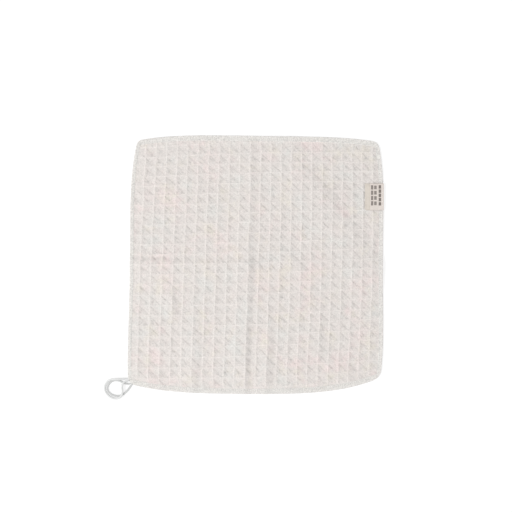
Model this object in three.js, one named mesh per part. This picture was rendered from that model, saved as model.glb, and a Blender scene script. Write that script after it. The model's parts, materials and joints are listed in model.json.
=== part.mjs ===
// A waffle-weave bar towel, spread out flat, with a sewn-in label and a hanging loop of thin cord at a corner.
// Millimetres, +Z up. Seen from above, +X is the towel's right and +Y its far edge. It lies on Z = 0.

import * as THREE from "three";

// The cloth's corners, before they are rounded off
const CORNERS = {
  far: { left: { x: -140.4, y: 147.5, radius: 5.5 }, right: { x: 145.4, y: 145.6, radius: 7 } },
  near: { left: { x: -151.7, y: -141, radius: 8.5 }, right: { x: 147.7, y: -133.9, radius: 9 } },
};

// How far each edge bows out of the straight line between its corners, from its left or near end on
const BOWS = {
  far: { quarter: 6.4, half: 6.3, threeQuarters: 5.7 },
  near: { quarter: 12.7, half: 16.1, threeQuarters: 15.7 },
  left: { quarter: 2.3, half: 3.5, threeQuarters: 5.6 },
  right: { quarter: 4, half: 4.2, threeQuarters: 5.5 },
};

// The hem's width along each edge
const HEM = { far: 6.5, near: 6.8, left: 4.6, right: 5.3 };

// The hem's section, from the cloth to its edge and back underneath: share of its width and height
const HEM_SECTION = [
  { out: 0.28, height: 2.45 },
  { out: 0.78, height: 2.35 },
  { out: 1, height: 1.35 },
  { out: 0.94, height: 0.35 },
  { out: 0.8, height: 0 },
];
const HEM_SEAM_HEIGHT = 1.9;
const CORNER_STEPS = 4;

// The waffle: ridges each way, and where the first, middle and last of them cross
const RIDGES = 23;
const CROSSINGS = {
  near: { left: [-140.7, -134.8], middle: [-1, -133.1], right: [133.1, -125.7] },
  middle: { left: [-137, 0], middle: [3.4, 2.6], right: [138, 7.5] },
  far: { left: [-130.5, 126.9], middle: [6, 132.2], right: [137.8, 132.9] },
};
const PITCH = 12.2;
const LEAST_CELL = 1.4;
const RIDGE_HEIGHT = 3;
const PIT_DEPTH = 1.45;

// How much the weave strays from its even place, height and depth
const STRAY = { place: 0.45, height: 0.22, depth: 0.3 };

// Soft creases, most of them from folding in quarters. Each follows a crest whose points are [x, y, rise].
// Its long slope is on the right hand along the crest and its steep one on the left.
const CREASES = [
  {
    name: "up fold, far half",
    long: 26,
    steep: 7,
    crest: [[-5.2, 150, 0.7], [-4.8, 90, 0.5], [-7.2, 6, 0.7]],
  },
  {
    name: "up fold, near half",
    long: 26,
    steep: 7.5,
    crest: [[-7.2, 0, 0.9], [-9, -50, 0.9], [-12.4, -110, 1.5], [-13.2, -150, 1.3]],
  },
  {
    name: "up fold, second lip",
    long: 15,
    steep: 9,
    crest: [[14.5, -58, 0.4], [14.5, -92, 1.3], [11, -150, 1.3]],
  },
  {
    name: "cross fold, left",
    long: 30,
    steep: 8,
    crest: [[-152, 10, 0.7], [-128, 6.5, 1.7], [-98, 3, 0.9], [-45, 0, 0.7], [-7, -1.5, 1]],
  },
  { name: "cross fold, bend", long: 20, steep: 8, crest: [[36, 10.5, 0.4], [45, 5, 0.8], [54, -6.5, 0.7]] },
  {
    name: "cross fold, right",
    long: 34,
    steep: 15,
    crest: [[62, -6, 0.4], [98, -6, 0.8], [124, -4, 1.8], [152, -1, 1.6]],
  },
  {
    name: "slant",
    long: 46,
    steep: 13,
    crest: [[46, 150, 1], [45, 120, 1], [78, 86, 2], [93, 62, 1.6], [112, 38, 1.3], [132, 10, 0.9]],
  },
  { name: "left dent", long: 16, steep: 7, crest: [[-104, -27, 0.7], [-101, -37, 1.3], [-96.5, -54, 1.1]] },
  { name: "near left", long: 20, steep: 9, crest: [[-72, -66, 0.4], [-71, -96, 1.1], [-76, -148, 1]] },
  { name: "near left corner", long: 12, steep: 9, crest: [[-139, -127, 0.7], [-125, -134, 0.9]] },
  { name: "near right, inner", long: 22, steep: 10, crest: [[51.5, -100, 0.8], [50.5, -124, 0.9]] },
  { name: "near right, outer", long: 20, steep: 9, crest: [[75, -64, 0.7], [74.5, -104, 0.8]] },
  { name: "near right corner", long: 22, steep: 11, crest: [[95, -118, 0.6], [109, -130, 0.9]] },
  { name: "near hem pucker", long: 12, steep: 9, crest: [[20, -141, 0.8], [38, -147, 0.9]] },
];
const CREASE_FADE = 16;

// The label: it lies on the ridges, and its outer end drops on to the hem
const LABEL = {
  left: 128.5,
  right: 150.2,
  near: 64.6,
  far: 96.2,
  thickness: 1,
  clearance: 0.35,
  drop: 0.6,
  dropFrom: 142,
  wave: 0.25,
  across: 8,
  along: 10,
};

// The hanging loop: two strands of round cord, each from the corner, round the loop and back to the corner
const CORD = { diameter: 2.5, sides: 8, steps: 38 };
const OUTER_ROUTE = [
  [-151.6, -137.7, 2.9],
  [-154.2, -138.1, 3.5],
  [-156.3, -139.4, 4],
  [-157.8, -141.5, 4],
  [-158.4, -144.6, 3.5],
  [-158.2, -148.2, 3.3],
  [-158, -151.2, 3.7],
  [-158.7, -154.2, 4.1],
  [-160.8, -156.9, 3.8],
  [-164, -158.6, 2.6],
  [-168.1, -158.7, 1.5],
  [-172.8, -156.7, 1.3],
  [-177, -152.9, 1.3],
  [-179, -148.2, 1.3],
  [-178.8, -143.2, 1.3],
  [-176.3, -138.8, 1.9],
  [-172.2, -136.3, 3],
  [-167.4, -135.7, 3.75],
  [-162.6, -135.5, 3.5],
  [-157.6, -135.3, 2.4],
  [-152.6, -135.2, 1.4],
];
const INNER_ROUTE = [
  [-150.2, -141.4, 1.3],
  [-152.9, -141.2, 1.3],
  [-155.5, -140.5, 1.3],
  [-158.4, -139.2, 1.3],
  [-161.8, -137.7, 1.3],
  [-165.8, -137, 1.3],
  [-170.2, -137.9, 1.3],
  [-173.9, -140.8, 1.3],
  [-176, -145.1, 1.3],
  [-175.6, -149.4, 1.3],
  [-173.2, -152.5, 1.3],
  [-169.4, -154.7, 1.3],
  [-165.4, -155.7, 1.3],
  [-161.3, -155.4, 1.3],
  [-157.8, -154, 1.3],
  [-154.6, -151.4, 1.3],
  [-151.6, -148.3, 1.3],
  [-149.2, -145.1, 1.3],
  [-147.5, -142.7, 1.3],
];

const MATERIALS = {
  cloth: new THREE.MeshStandardMaterial({ color: 0xe2dcd8, roughness: 0.95, metalness: 0 }),
  label: new THREE.MeshStandardMaterial({ color: 0xe4ddcc, roughness: 0.6, metalness: 0 }),
  cord: new THREE.MeshStandardMaterial({ color: 0xe4e5e4, roughness: 0.7, metalness: 0 }),
};

// The net of the waffle: its ridges, with the hem's seam as the first and the last line each way
const LINES = RIDGES + 2;
const LAST = LINES - 1;

// A closed surface, built up from numbered points and from triangles that face out
class Surface {
  coordinates = [];
  triangles = [];

  point(x, y, z) {
    this.coordinates.push(x, y, z);
    return this.coordinates.length / 3 - 1;
  }

  triangle(a, b, c) {
    if (a !== b && b !== c && c !== a) this.triangles.push(a, b, c);
  }

  quad(a, b, c, d) {
    this.triangle(a, b, c);
    this.triangle(a, c, d);
  }

  geometry() {
    const geometry = new THREE.BufferGeometry();
    geometry.setAttribute("position", new THREE.Float32BufferAttribute(this.coordinates, 3));
    geometry.setIndex(this.triangles);
    geometry.computeVertexNormals();
    return geometry;
  }
}

// What strays, in the order of its random numbers
const STRAYS = ["x", "y", "ridge", "pit", "label"];

// The stray of one place in the net, from -1 to 1 and the same each time
function stray(what, i, j) {
  const number = (STRAYS.indexOf(what) * LINES + i) * LINES + j;
  return 2 * THREE.MathUtils.seededRandom(number) - 1;
}

// A smooth hump, 1 at 0 and 0 from 1 on
function softBump(distance) {
  return Math.abs(distance) < 1 ? (1 - distance * distance) ** 2 : 0;
}

// The smooth curve that has the stated values at even steps from 0 to 1
function through(values, t) {
  const step = 1 / (values.length - 1);
  return values.reduce((sum, value, k) => {
    let share = value;
    values.forEach((_, other) => {
      if (other !== k) share *= (t / step - other) / (k - other);
    });
    return sum + share;
  }, 0);
}

// A bowed edge between two corners: y for a place x, or x for a place y
function bowed(start, end, along, aside, bow, outward, place) {
  const t = (place - start[along]) / (end[along] - start[along]);
  const straight = THREE.MathUtils.lerp(start[aside], end[aside], t);
  return straight + outward * through([0, bow.quarter, bow.half, bow.threeQuarters, 0], t);
}

const EDGE = {
  far: (x) => bowed(CORNERS.far.left, CORNERS.far.right, "x", "y", BOWS.far, 1, x),
  near: (x) => bowed(CORNERS.near.left, CORNERS.near.right, "x", "y", BOWS.near, -1, x),
  left: (y) => bowed(CORNERS.near.left, CORNERS.far.left, "y", "x", BOWS.left, -1, y),
  right: (y) => bowed(CORNERS.near.right, CORNERS.far.right, "y", "x", BOWS.right, 1, y),
};

// The hem's width as a step from each edge into the cloth
const INWARD = { far: -HEM.far, near: HEM.near, left: HEM.left, right: -HEM.right };

// A point inset from a corner by two steps, each measured from the bowed edge
function insetCorner(end, side, stepX, stepY) {
  const { x, y } = CORNERS[end][side];
  return { x: EDGE[side](y + stepY) + stepX, y: EDGE[end](x + stepX) + stepY };
}

function seamCorner(end, side) {
  return insetCorner(end, side, INWARD[side], INWARD[end]);
}

// The middle of a corner's rounding
function roundingCentre(end, side) {
  const { radius } = CORNERS[end][side];
  return insetCorner(end, side, Math.sign(INWARD[side]) * radius, Math.sign(INWARD[end]) * radius);
}

// How far one crease lifts the cloth at a place, from the nearest piece of its crest
function creaseLift({ crest, long, steep }, x, y) {
  const lastPiece = crest.length - 2;
  let nearest = { distance: Infinity, lift: 0 };
  for (let k = 0; k <= lastPiece; k += 1) {
    const [startX, startY, startRise] = crest[k];
    const [endX, endY, endRise] = crest[k + 1];
    const length = Math.hypot(endX - startX, endY - startY);
    const alongX = (endX - startX) / length;
    const alongY = (endY - startY) / length;
    const low = k === 0 ? -Infinity : 0;
    const high = k === lastPiece ? Infinity : length;
    const along = THREE.MathUtils.clamp((x - startX) * alongX + (y - startY) * alongY, low, high);
    const distance = Math.hypot(x - startX - along * alongX, y - startY - along * alongY);
    if (distance >= nearest.distance) continue;
    const onRight = (x - startX) * alongY > (y - startY) * alongX;
    const beyond = Math.max(-along, along - length, 0);
    const rise = THREE.MathUtils.lerp(startRise, endRise, THREE.MathUtils.clamp(along / length, 0, 1));
    const lift = rise * softBump(distance / (onRight ? long : steep)) * softBump(beyond / CREASE_FADE);
    nearest = { distance, lift };
  }
  return nearest.lift;
}

function liftAt(x, y) {
  return CREASES.reduce((sum, crease) => sum + creaseLift(crease, x, y), 0);
}

// The place where two ridges cross, counted from the left and from the near edge
function crossing(column, row) {
  const s = column / (RIDGES - 1);
  const t = row / (RIDGES - 1);
  return [0, 1].map((axis) => {
    const onLine = ({ left, middle, right }) => through([left[axis], middle[axis], right[axis]], s);
    return through([onLine(CROSSINGS.near), onLine(CROSSINGS.middle), onLine(CROSSINGS.far)], t);
  });
}

// A place in the net. The seam's places follow the bowed edges, and each keeps a least distance from the next.
function netPlace(i, j) {
  const sides = { 0: "left", [LAST]: "right" };
  const ends = { 0: "near", [LAST]: "far" };
  const side = sides[i];
  const end = ends[j];
  if (side && end) return seamCorner(end, side);
  const column = THREE.MathUtils.clamp(i - 1, 0, RIDGES - 1);
  const row = THREE.MathUtils.clamp(j - 1, 0, RIDGES - 1);
  const [x, y] = crossing(column, row);
  if (side) {
    const low = seamCorner("near", side).y + j * LEAST_CELL;
    const high = seamCorner("far", side).y - (LAST - j) * LEAST_CELL;
    const place = THREE.MathUtils.clamp(y, low, high);
    return { x: EDGE[side](place) + INWARD[side], y: place };
  }
  if (end) return { x, y: EDGE[end](x) + INWARD[end] };
  return { x: x + STRAY.place * stray("x", i, j), y: y + STRAY.place * stray("y", i, j) };
}

// The cloth: a sheet of sunken cells on both faces. The ridges on its underside run below the middles of the
// upper cells, as they do in the weave, and the hem is a rounded band all round it.
function clothGeometry() {
  const surface = new Surface();
  const places = [];
  const above = [];
  const below = [];
  for (let i = 0; i < LINES; i += 1) {
    places.push([]);
    above.push([]);
    below.push([]);
    for (let j = 0; j < LINES; j += 1) {
      const { x, y } = netPlace(i, j);
      const atSeam = i === 0 || j === 0 || i === LAST || j === LAST;
      const lift = liftAt(x, y);
      const uneven = STRAY.height * stray("ridge", i, j);
      const high = atSeam ? HEM_SEAM_HEIGHT : RIDGE_HEIGHT + uneven;
      const low = atSeam ? 0 : PIT_DEPTH + uneven;
      places[i].push({ x, y });
      above[i].push(surface.point(x, y, lift + high));
      below[i].push(surface.point(x, y, lift + low));
    }
  }
  addCells(surface, places, above, below);
  addHem(surface, places, above, below);
  return surface.geometry();
}

// The cells: each has a point at its middle, sunken above and resting below
function addCells(surface, places, above, below) {
  const middleAbove = [];
  const middleBelow = [];
  for (let i = 0; i < LAST; i += 1) {
    middleAbove.push([]);
    middleBelow.push([]);
    for (let j = 0; j < LAST; j += 1) {
      const corners = [places[i][j], places[i + 1][j], places[i + 1][j + 1], places[i][j + 1]];
      const x = corners.reduce((sum, corner) => sum + corner.x, 0) / corners.length;
      const y = corners.reduce((sum, corner) => sum + corner.y, 0) / corners.length;
      const width = (corners[1].x + corners[2].x - corners[0].x - corners[3].x) / 2;
      const height = (corners[2].y + corners[3].y - corners[0].y - corners[1].y) / 2;
      const share = Math.min(width, height, PITCH) / PITCH;
      const depth = (PIT_DEPTH + STRAY.depth * stray("pit", i, j)) * share;
      middleAbove[i].push(surface.point(x, y, liftAt(x, y) + RIDGE_HEIGHT - depth));
      middleBelow[i].push(surface.point(x, y, liftAt(x, y)));
    }
  }
  for (let i = 0; i < LAST; i += 1) {
    for (let j = 0; j < LAST; j += 1) {
      const middle = middleAbove[i][j];
      surface.triangle(above[i][j], above[i + 1][j], middle);
      surface.triangle(above[i + 1][j], above[i + 1][j + 1], middle);
      surface.triangle(above[i + 1][j + 1], above[i][j + 1], middle);
      surface.triangle(above[i][j + 1], above[i][j], middle);
    }
  }
  for (let i = 0; i < LAST; i += 1) {
    for (let j = 0; j <= LAST; j += 1) {
      addRidgeBelow(surface, below[i][j], below[i + 1][j], middleBelow[i][j], middleBelow[i][j - 1]);
    }
  }
  for (let j = 0; j < LAST; j += 1) {
    for (let i = 0; i <= LAST; i += 1) {
      addRidgeBelow(surface, below[i][j + 1], below[i][j], middleBelow[i]?.[j], middleBelow[i - 1]?.[j]);
    }
  }
}

// The underside across one line of the net: a ridge between two middles, and a single triangle at the seam
function addRidgeBelow(surface, start, end, ahead, behind) {
  if (ahead === undefined) surface.triangle(start, end, behind);
  else if (behind === undefined) surface.triangle(end, start, ahead);
  else {
    surface.triangle(start, ahead, behind);
    surface.triangle(end, behind, ahead);
  }
}

// The hem: its section is carried round the seam, with a fan of steps at each rounded corner
function addHem(surface, places, above, below) {
  const rings = hemStations().map(({ i, j, edge }) => {
    const seam = places[i][j];
    const between = HEM_SECTION.map(({ out, height }) => {
      const x = THREE.MathUtils.lerp(seam.x, edge.x, out);
      const y = THREE.MathUtils.lerp(seam.y, edge.y, out);
      return surface.point(x, y, liftAt(x, y) + height);
    });
    return [above[i][j], ...between, below[i][j]];
  });
  rings.forEach((ring, number) => {
    const next = rings[(number + 1) % rings.length];
    for (let k = 0; k + 1 < ring.length; k += 1) surface.quad(ring[k], ring[k + 1], next[k + 1], next[k]);
  });
}

// The stations of the hem, anticlockwise from the near left corner: a place in the net and the edge's point
function hemStations() {
  const stations = [];
  const sides = [
    { corner: ["near", "left"], edge: "near", place: (n) => [n, 0] },
    { corner: ["near", "right"], edge: "right", place: (n) => [LAST, n] },
    { corner: ["far", "right"], edge: "far", place: (n) => [LAST - n, LAST] },
    { corner: ["far", "left"], edge: "left", place: (n) => [0, LAST - n] },
  ];
  sides.forEach(({ corner, edge, place }, number) => {
    const [end, side] = corner;
    const centre = roundingCentre(end, side);
    const { radius } = CORNERS[end][side];
    const start = Math.PI + (number * Math.PI) / 2;
    for (let k = 0; k <= CORNER_STEPS; k += 1) {
      const angle = start + (k / CORNER_STEPS) * (Math.PI / 2);
      const point = { x: centre.x + radius * Math.cos(angle), y: centre.y + radius * Math.sin(angle) };
      const [i, j] = place(0);
      stations.push({ i, j, edge: point });
    }
    for (let n = 1; n < LAST; n += 1) {
      const [i, j] = place(n);
      stations.push({ i, j, edge: edgePoint(edge, netPlace(i, j)) });
    }
  });
  return stations;
}

// The edge's point beside a seam point, kept clear of the rounded corners
function edgePoint(edge, { x, y }) {
  if (edge === "near" || edge === "far") {
    const place = THREE.MathUtils.clamp(x, roundingCentre(edge, "left").x, roundingCentre(edge, "right").x);
    return { x: place, y: EDGE[edge](place) };
  }
  const place = THREE.MathUtils.clamp(y, roundingCentre("near", edge).y, roundingCentre("far", edge).y);
  return { x: EDGE[edge](place), y: place };
}

// The label: a thin sheet with a slightly wavy inner end
function labelGeometry() {
  const surface = new Surface();
  const { across, along } = LABEL;
  const ground = RIDGE_HEIGHT + STRAY.height + LABEL.clearance;
  const [under, over] = [0, LABEL.thickness].map((rise) => {
    const sheet = [];
    for (let i = 0; i <= across; i += 1) {
      sheet.push([]);
      for (let j = 0; j <= along; j += 1) {
        const x = THREE.MathUtils.lerp(LABEL.left, LABEL.right, i / across);
        const y = THREE.MathUtils.lerp(LABEL.near, LABEL.far, j / along);
        const drop = LABEL.drop * THREE.MathUtils.smoothstep(x, LABEL.dropFrom, LABEL.right);
        const wave = LABEL.wave * Math.abs(stray("label", 0, j)) * (1 - i / across);
        sheet[i].push(surface.point(x, y, ground - drop + wave + rise));
      }
    }
    return sheet;
  });
  for (let i = 0; i < across; i += 1) {
    for (let j = 0; j < along; j += 1) {
      surface.quad(over[i][j], over[i + 1][j], over[i + 1][j + 1], over[i][j + 1]);
      surface.quad(under[i][j], under[i][j + 1], under[i + 1][j + 1], under[i + 1][j]);
    }
    surface.quad(under[i][0], under[i + 1][0], over[i + 1][0], over[i][0]);
    surface.quad(under[i + 1][along], under[i][along], over[i][along], over[i + 1][along]);
  }
  for (let j = 0; j < along; j += 1) {
    surface.quad(under[0][j + 1], under[0][j], over[0][j], over[0][j + 1]);
    surface.quad(under[across][j], under[across][j + 1], over[across][j + 1], over[across][j]);
  }
  return surface.geometry();
}

// One strand of the loop: a round tube along its route
function cordGeometry(route) {
  const points = route.map(([x, y, z]) => new THREE.Vector3(x, y, z));
  const path = new THREE.CatmullRomCurve3(points, false, "centripetal");
  const section = new THREE.Shape();
  for (let k = 0; k < CORD.sides; k += 1) {
    const angle = (k / CORD.sides) * 2 * Math.PI;
    const x = (CORD.diameter / 2) * Math.cos(angle);
    const y = (CORD.diameter / 2) * Math.sin(angle);
    if (k === 0) section.moveTo(x, y);
    else section.lineTo(x, y);
  }
  section.closePath();
  return new THREE.ExtrudeGeometry(section, { steps: CORD.steps, extrudePath: path, bevelEnabled: false });
}

function part(name, geometry, material) {
  const mesh = new THREE.Mesh(geometry, material);
  mesh.name = name;
  return mesh;
}

const towel = new THREE.Group();
towel.add(part("towel_cloth", clothGeometry(), MATERIALS.cloth));
towel.add(part("side_label", labelGeometry(), MATERIALS.label));
towel.add(part("hanging_cord_outer", cordGeometry(OUTER_ROUTE), MATERIALS.cord));
towel.add(part("hanging_cord_inner", cordGeometry(INNER_ROUTE), MATERIALS.cord));

export default towel;
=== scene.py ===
"""A waffle-weave bar towel, spread out flat, with an overlocked hem, a label and a loop of thin cord."""

import json
import math
import random

import bpy
import numpy as np
from bpy.props import FloatProperty, FloatVectorProperty, IntProperty, PointerProperty
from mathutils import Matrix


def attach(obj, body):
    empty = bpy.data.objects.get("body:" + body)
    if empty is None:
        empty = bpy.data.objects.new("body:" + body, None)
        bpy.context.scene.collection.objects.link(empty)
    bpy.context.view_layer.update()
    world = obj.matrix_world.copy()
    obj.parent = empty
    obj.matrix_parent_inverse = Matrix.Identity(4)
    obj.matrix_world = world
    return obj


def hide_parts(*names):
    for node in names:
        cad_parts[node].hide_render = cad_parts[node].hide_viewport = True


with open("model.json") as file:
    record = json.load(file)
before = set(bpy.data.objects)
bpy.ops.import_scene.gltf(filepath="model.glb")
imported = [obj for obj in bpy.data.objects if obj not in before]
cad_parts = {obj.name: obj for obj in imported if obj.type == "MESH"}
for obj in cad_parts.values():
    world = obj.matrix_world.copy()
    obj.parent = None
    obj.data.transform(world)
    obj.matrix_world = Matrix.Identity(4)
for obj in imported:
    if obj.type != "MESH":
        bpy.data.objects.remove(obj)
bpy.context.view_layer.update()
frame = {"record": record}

bl_info = {
    "name": "Waffle Bar Towel",
    "version": (1, 0, 0),
    "blender": (4, 5, 0),
    "location": "3D View > Sidebar > Towel",
    "description": "Makes a waffle-weave bar towel with its hem, label and hanging loop",
    "category": "Add Mesh",
}

# Sizes are in millimetres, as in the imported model's source, and become metres when a mesh is made
MM = 0.001
BODY = "root"

# The cloth's corners, where its bowed edges would meet, and the radius that rounds each one off
CORNERS = {
    "far": {"left": (-140.4, 147.5), "right": (145.4, 145.6)},
    "near": {"left": (-151.7, -141.0), "right": (147.7, -133.9)},
}
ROUNDING = {
    "far": {"left": 4.5, "right": 7.0},
    "near": {"left": 8.5, "right": 8.0},
}

# How far each edge bows out at its quarters, from its left or near end on
BOWS = {
    "far": (6.4, 6.3, 5.7),
    "near": (12.7, 16.1, 15.7),
    "left": (2.3, 3.5, 5.6),
    "right": (4.0, 4.2, 5.5),
}

# The hem's width along each edge, as a step from the edge into the cloth
INWARD = {"far": -6.5, "near": 6.8, "left": 4.6, "right": -5.3}

# The waffle: ridges each way, and where the first, middle and last of them cross
RIDGES = 23
CROSSINGS = {
    "near": ((-140.7, -134.8), (-1.0, -133.1), (133.1, -125.7)),
    "middle": ((-137.0, 0.0), (3.4, 2.6), (138.0, 7.5)),
    "far": ((-130.5, 126.9), (6.0, 132.2), (137.8, 132.9)),
}
PITCH = 12.2
LEAST_CELL = 1.4
SEAM_HEIGHT = 1.9
LINES = RIDGES + 2
LAST = LINES - 1

# How much the weave strays from its even place, height and depth, in the order of its random numbers
STRAYS = ("x", "y", "ridge", "pit")
STRAY_PLACE = 0.45
STRAY_HEIGHT = 0.22
STRAY_DEPTH = 0.3

# Soft creases, six of them from folding the towel in quarters. Each has the width of its long slope, on the
# right hand along the crest, the width of its steep slope, and its crest's points as x, y and rise.
CREASES = {
    "up fold, far half": (26, 6, ((-5.2, 150, 0.7), (-4.8, 90, 0.5), (-7.2, 6, 0.7))),
    "up fold, near half": (26, 6, ((-7.2, 0, 1.2), (-9, -50, 1.2), (-12.4, -110, 1.7), (-13.2, -150, 1.4))),
    "up fold, second lip": (15, 9, ((14.5, -58, 0.4), (14.5, -92, 1.3), (11, -150, 1.3))),
    "cross fold, left": (
        30,
        5,
        ((-152, 6.5, 1.4), (-128, 4.6, 2.2), (-98, 2.4, 1.4), (-45, 1.8, 1.1), (-7, 1.2, 1)),
    ),
    "cross fold, bend": (20, 8, ((36, 10.5, 0.4), (45, 5, 0.8), (54, -6.5, 0.7))),
    "cross fold, right": (34, 15, ((62, -6, 0.4), (98, -6, 0.8), (124, -4, 1.8), (152, -1, 1.6))),
    "slant": (
        46,
        13,
        ((46, 150, 1), (45, 120, 1), (78, 86, 2), (93, 62, 1.6), (112, 38, 1.3), (132, 10, 0.9)),
    ),
    "left dent": (16, 7, ((-104, -27, 0.7), (-101, -37, 1.3), (-96.5, -54, 1.1))),
    "near left": (20, 9, ((-72, -66, 0.4), (-71, -96, 1.1), (-76, -148, 1))),
    "near left corner": (12, 9, ((-139, -127, 0.7), (-125, -134, 0.9))),
    "near right, inner": (22, 10, ((51.5, -100, 0.8), (50.5, -124, 0.9))),
    "near right, outer": (20, 9, ((75, -64, 0.7), (74.5, -104, 0.8))),
    "near right corner": (22, 11, ((95, -118, 0.6), (109, -130, 0.9))),
    "near hem pucker": (12, 9, ((20, -141, 0.8), (38, -147, 0.9))),
}

# How far a crease fades beyond its crest's ends, and how many times as high as in the solid it is drawn
CREASE_FADE = 16
CREASE_STRENGTH = 1.5

# Where each cell has mesh points, as shares of its pitch: closest together beside the ridges of that face
UPPER_SAMPLES = (0, 0.04, 0.09, 0.3, 0.5, 0.7, 0.91, 0.96)
UNDER_SAMPLES = (0, 0.2, 0.41, 0.46, 0.5, 0.54, 0.59, 0.8)

# A pit's wall: the ridge's rounded rim takes a share of the depth, and an even slope the rest
RIM_SHARE = 0.22
RIM_WIDTH = 0.16

# How far the ridges sag between their crossings, and how uneven the face is from one mesh point to the next
UP_RIDGE_SAG = 0.08
CROSS_RIDGE_SAG = 0.28
UNEVEN_FACE = 0.09
UNEVEN_SEED = 11

# The hem's section, from the upper seam over the edge to the lower one: share of the width, and height
HEM_SECTION = (
    (0, 1.9),
    (0.1, 1.95),
    (0.25, 2.02),
    (0.45, 2.1),
    (0.7, 2.19),
    (0.88, 2.23),
    (0.965, 2.15),
    (0.993, 1.85),
    (1, 1.25),
    (0.97, 0.78),
    (0.85, 0.57),
    (0.6, 0.5),
    (0.34, 0.46),
    (0.12, 0.3),
    (0, 0),
)

# A corner's rounding: its reach along each edge in radii, the steps in half of it, and those on to a ridge
CORNER_REACH = 1.17
CORNER_STEPS = 16
RUN_STEPS = 8

# The loop's two strands, each from the corner, round the loop and back
OUTER_ROUTE = (
    (-151.6, -137.7, 2.9),
    (-154.2, -138.1, 3.5),
    (-156.3, -139.4, 4.0),
    (-157.8, -141.5, 4.0),
    (-158.4, -144.6, 3.5),
    (-158.2, -148.2, 3.3),
    (-158.0, -151.2, 3.7),
    (-158.7, -154.2, 4.1),
    (-160.8, -156.9, 3.8),
    (-164.0, -158.6, 2.6),
    (-168.1, -158.7, 1.5),
    (-172.8, -156.7, 1.3),
    (-177.0, -152.9, 1.3),
    (-179.0, -148.2, 1.3),
    (-178.8, -143.2, 1.3),
    (-176.3, -138.8, 1.9),
    (-172.2, -136.3, 3.0),
    (-167.4, -135.7, 3.75),
    (-162.6, -135.5, 3.5),
    (-157.6, -135.3, 2.4),
    (-152.6, -135.2, 1.4),
)
INNER_ROUTE = (
    (-150.2, -141.4, 1.3),
    (-152.9, -141.2, 1.3),
    (-155.5, -140.5, 1.3),
    (-158.4, -139.2, 1.3),
    (-161.8, -137.7, 1.3),
    (-165.8, -137.0, 1.3),
    (-170.2, -137.9, 1.3),
    (-173.9, -140.8, 1.3),
    (-176.0, -145.1, 1.3),
    (-175.6, -149.4, 1.3),
    (-173.2, -152.5, 1.3),
    (-169.4, -154.7, 1.3),
    (-165.4, -155.7, 1.3),
    (-161.3, -155.4, 1.3),
    (-157.8, -154.0, 1.3),
    (-154.6, -151.4, 1.3),
    (-151.6, -148.3, 1.3),
    (-149.2, -145.1, 1.3),
    (-147.5, -142.7, 1.3),
)
STRANDS = {
    "hanging_cord_outer": {
        "route": OUTER_ROUTE,
        "start_in_hem": (-150.0, -137.4, 2.0),
        "end_in_hem": (-150.6, -135.3, 1.3),
    },
    "hanging_cord_inner": {
        "route": INNER_ROUTE,
        "start_in_hem": (-148.7, -140.4, 1.3),
        "end_in_hem": (-146.7, -140.9, 1.3),
    },
}
STRAND_STEP = 0.4
STRAND_SIDES = 16

# The share of its radius that the cord keeps at its ends, in the hem, and how far from them it is whole
PINCHED = 0.7
PINCH_LENGTH = 6.0

# The label: a ribbon folded round the hem's edge. Its lower leaf is the longer one.
LABEL_NEAR = 64.6
LABEL_FAR = 96.2
LABEL_ROWS = 40
LABEL_STEP = 0.7
LABEL_LOWER_END = 129.3
LABEL_UPPER_END = 135.3
LABEL_FOLD_AT = 151.5
LABEL_CLEARANCE = 0.2
LABEL_LEAF_GAP = 0.3
LABEL_CORNER = 1.8

# How the ribbon lies. It falls away from the points that hold it up by the distance squared over a span:
# the slack one, less the droop at its side edges, and no further than the tight one lets it.
LABEL_SLACK = 80.0
LABEL_TIGHT = 4.0
LABEL_DROOP = 0.55
LABEL_DROOP_FROM = 4.0
LABEL_WAVE = 0.1
LABEL_WAVE_LENGTH = 13.0

# Where the row of short stitches holds the label
LABEL_TACK_X = 150.2
LABEL_TACK_MARGIN = 1.3

WEAVE_MAP = "weave"
ALONG_MAP = "along"

# The curve from a colour channel's display value to light
CURVE_KNEE = 0.04045
CURVE_SLOPE = 12.92
CURVE_OFFSET = 0.055
CURVE_POWER = 2.4


def linear(channel):
    """A colour channel as light, from the record's display value."""
    if channel <= CURVE_KNEE:
        return channel / CURVE_SLOPE
    return ((channel + CURVE_OFFSET) / (1 + CURVE_OFFSET)) ** CURVE_POWER


CLOTH_COLOUR = next(
    tuple(linear(channel) for channel in material["base_color"])
    for material in frame["record"]["materials"]
    if material["slot"] == "cloth"
)


# Settings that a user would change


def colour_setting(name, what, default):
    about = f"Colour of {what}"
    return FloatVectorProperty(
        name=name, description=about, subtype="COLOR", size=3, min=0, max=1, default=default
    )


def length_setting(name, about, default):
    return FloatProperty(
        name=name, description=about, unit="LENGTH", subtype="DISTANCE", min=0, precision=5, default=default
    )


def angle_setting(name, about, degrees):
    return FloatProperty(name=name, description=about, subtype="ANGLE", default=math.radians(degrees))


def strength_setting(name, about, default):
    return FloatProperty(name=name, description=about, min=0, default=default)


class ClothSettings(bpy.types.PropertyGroup):
    """The waffle cloth."""

    ridge_height: length_setting("Ridge Height", "Height of the ridges above the surface below", 0.003)
    pit_depth: length_setting("Pit Depth", "Depth of the pits below the ridges", 0.00145)
    thread_relief: length_setting("Thread Relief", "Height of the single threads in the weave", 0.00016)
    colour: colour_setting("Cloth", "the waffle cloth", CLOTH_COLOUR)
    rosy: colour_setting("Rosy Patches", "the faintly warmer patches", (0.802, 0.706, 0.684))
    cool: colour_setting("Cool Patches", "the faintly cooler patches", (0.742, 0.727, 0.698))
    olive: colour_setting("Olive Patches", "the faintly yellower patches", (0.767, 0.722, 0.656))


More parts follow.
